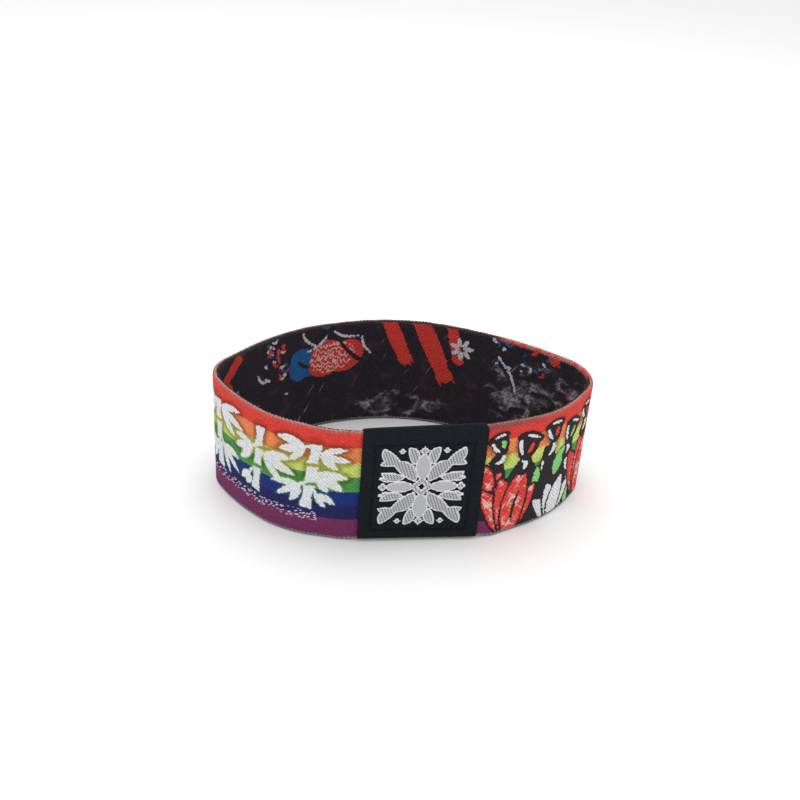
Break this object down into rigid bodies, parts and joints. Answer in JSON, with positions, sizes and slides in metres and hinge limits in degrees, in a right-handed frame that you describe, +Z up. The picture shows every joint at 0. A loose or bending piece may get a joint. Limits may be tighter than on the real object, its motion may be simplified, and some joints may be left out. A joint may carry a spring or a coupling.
{
  "type": "elastic bracelet",
  "caption": "Wide printed elastic wristband: a closed loop of woven stretch webbing, joined under a folded woven label.",
  "frame": {"origin": "middle of the bracelet's footprint, on the surface that it stands on", "axes": "+X along the loop's longer way, +Y away from the label's side, +Z up along the wrist hole"},
  "size_m": [0.076, 0.048, 0.0254],
  "materials": {
    "printed_webbing": "woven stretch webbing, printed on both faces: bright level stripes outside, a black ground inside",
    "label_tape": "black satin-woven label tape with a silver-grey woven ornament"
  },
  "bodies": {
    "root": {"elastic_band": "printed_webbing", "woven_label": "label_tape"}
  },
  "joints": []
}
